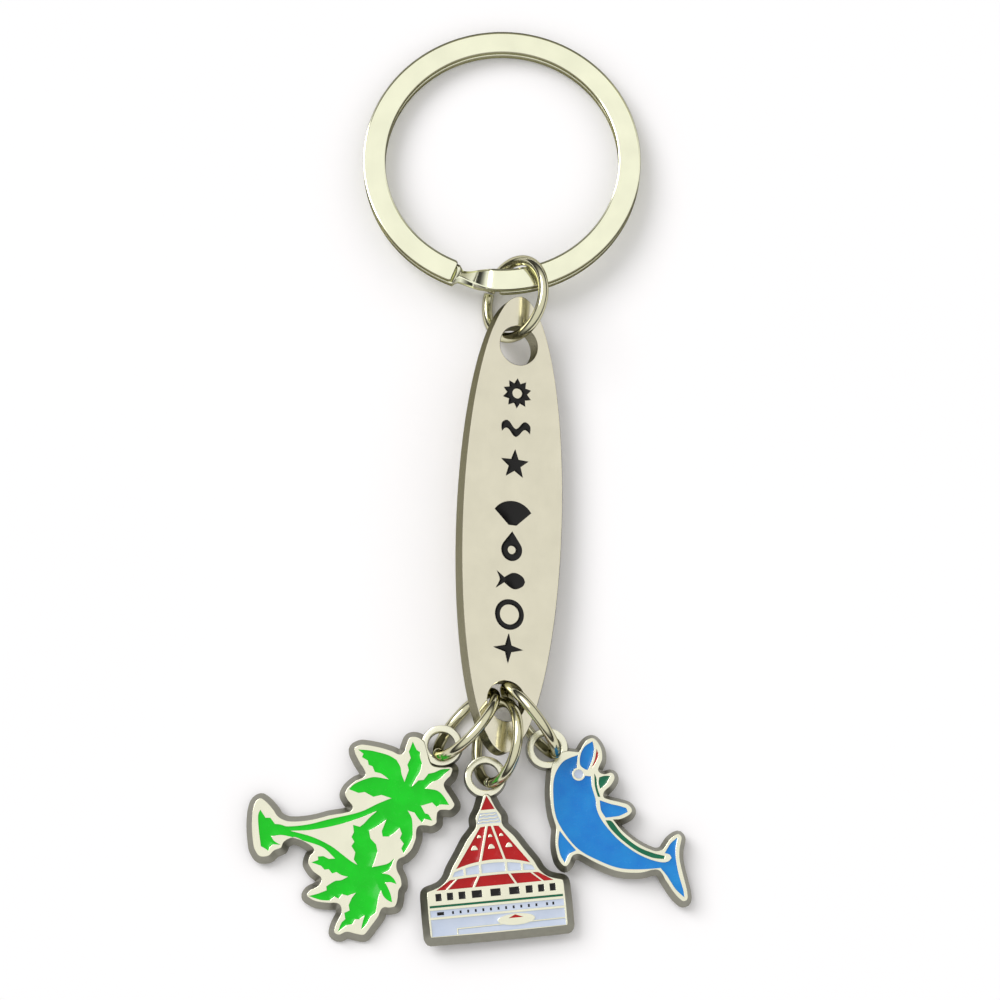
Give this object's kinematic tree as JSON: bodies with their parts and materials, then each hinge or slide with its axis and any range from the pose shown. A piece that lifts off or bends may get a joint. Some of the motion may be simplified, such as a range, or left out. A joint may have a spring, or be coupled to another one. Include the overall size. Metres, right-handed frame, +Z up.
{
  "type": "keychain",
  "caption": "Souvenir keychain: split ring, long oval tag on a jump ring, and palm, pavilion and dolphin enamel charms on jump rings of their own.",
  "frame": {"origin": "centre of the bounding box's bottom face, on the surface that the keychain lies on", "axes": "+Y from the charms towards the split ring, along the longest extent; +Z up from the surface, the shortest extent; +X towards the dolphin charm"},
  "size_m": [0.0464, 0.1, 0.0097],
  "materials": {
    "black_enamel": "gloss enamel",
    "blue_enamel": "gloss enamel",
    "charm_nickel": "nickel-plated cast zinc, satin walls",
    "green_enamel": "gloss enamel",
    "jump_ring_nickel": "polished nickel-plated wire",
    "red_enamel": "gloss enamel",
    "split_ring_nickel": "polished nickel plate",
    "tag_nickel": "polished nickel plate",
    "teal_enamel": "gloss enamel",
    "white_enamel": "gloss enamel"
  },
  "bodies": {
    "split_ring": {"split_ring": "split_ring_nickel"},
    "top_jump_ring": {"top_jump_ring": "jump_ring_nickel"},
    "tag": {"tag": "tag_nickel", "tag_motif_compass": "black_enamel", "tag_motif_droplet": "black_enamel", "tag_motif_fish": "black_enamel", "tag_motif_ring": "black_enamel", "tag_motif_shell": "black_enamel", "tag_motif_starfish": "black_enamel", "tag_motif_sun": "black_enamel", "tag_motif_wave": "black_enamel"},
    "palm_jump_ring": {"palm_jump_ring": "jump_ring_nickel"},
    "palm_charm": {"palm_green": "green_enamel", "palm_plate": "charm_nickel"},
    "pavilion_jump_ring": {"pavilion_jump_ring": "jump_ring_nickel"},
    "pavilion_charm": {"pavilion_band_1": "white_enamel", "pavilion_band_2": "white_enamel", "pavilion_band_3": "white_enamel", "pavilion_band_4": "white_enamel", "pavilion_band_5": "white_enamel", "pavilion_canopy": "red_enamel", "pavilion_cone_left": "red_enamel", "pavilion_cone_middle": "red_enamel", "pavilion_cone_right": "red_enamel", "pavilion_cornice": "teal_enamel", "pavilion_lantern": "white_enamel", "pavilion_lower_wall": "white_enamel", "pavilion_plate": "charm_nickel", "pavilion_skirt_1": "red_enamel", "pavilion_skirt_2": "red_enamel", "pavilion_skirt_3": "red_enamel", "pavilion_skirt_4": "red_enamel", "pavilion_skirt_5": "red_enamel", "pavilion_spire": "red_enamel", "pavilion_upper_wall": "white_enamel", "pavilion_window_1": "black_enamel", "pavilion_window_2": "black_enamel", "pavilion_window_3": "black_enamel", "pavilion_window_4": "black_enamel", "pavilion_window_5": "black_enamel", "pavilion_window_6": "black_enamel", "pavilion_window_7": "black_enamel", "pavilion_window_8": "black_enamel", "pavilion_window_9": "black_enamel"},
    "dolphin_jump_ring": {"dolphin_jump_ring": "jump_ring_nickel"},
    "dolphin_charm": {"dolphin_belly_stripe": "teal_enamel", "dolphin_body": "blue_enamel", "dolphin_chin_stripe": "teal_enamel", "dolphin_dorsal_fin": "blue_enamel", "dolphin_eye": "white_enamel", "dolphin_far_flipper": "teal_enamel", "dolphin_mouth": "red_enamel", "dolphin_near_flipper": "blue_enamel", "dolphin_plate": "charm_nickel", "dolphin_snout": "blue_enamel"}
  },
  "joints": [
    {"name": "top_ring_fold", "type": "hinge", "parent": "split_ring", "child": "top_jump_ring", "pos_m": [0.0049, 0.02107, 0.00335], "axis": [1, 0, 0], "range_deg": [-90, 90]},
    {"name": "tag_swing", "type": "hinge", "parent": "top_jump_ring", "child": "tag", "pos_m": [0.00481, 0.01492, 0.00403], "axis": [0.7026, 0.0305, 0.7109], "range_deg": [-46, 55]},
    {"name": "palm_ring_slide", "type": "hinge", "parent": "tag", "child": "palm_jump_ring", "pos_m": [-0.0002, -0.02707, 0.00449], "axis": [-0.7139, 0.5829, 0.388], "range_deg": [-35, 55]},
    {"name": "palm_charm_swing", "type": "hinge", "parent": "palm_jump_ring", "child": "palm_charm", "pos_m": [-0.00312, -0.02905, 0.00208], "axis": [-0.1492, -0.6679, 0.7291], "range_deg": [-64, 3]},
    {"name": "pavilion_ring_slide", "type": "hinge", "parent": "tag", "child": "pavilion_jump_ring", "pos_m": [0.003, -0.02894, 0.00426], "axis": [-0.8633, 0.081, 0.4982], "range_deg": [-22, 40]},
    {"name": "pavilion_charm_swing", "type": "hinge", "parent": "pavilion_jump_ring", "child": "pavilion_charm", "pos_m": [0.00163, -0.03258, 0.00247], "axis": [0.3895, -0.5206, 0.7597], "range_deg": [-64, 0]},
    {"name": "dolphin_ring_slide", "type": "hinge", "parent": "tag", "child": "dolphin_jump_ring", "pos_m": [0.00648, -0.02677, 0.00489], "axis": [-0.7874, -0.6113, 0.079], "range_deg": [-34, 55]},
    {"name": "dolphin_charm_swing", "type": "hinge", "parent": "dolphin_jump_ring", "child": "dolphin_charm", "pos_m": [0.00833, -0.02951, 0.00218], "axis": [0.4379, -0.4645, 0.7698], "range_deg": [-2, 16]}
  ]
}
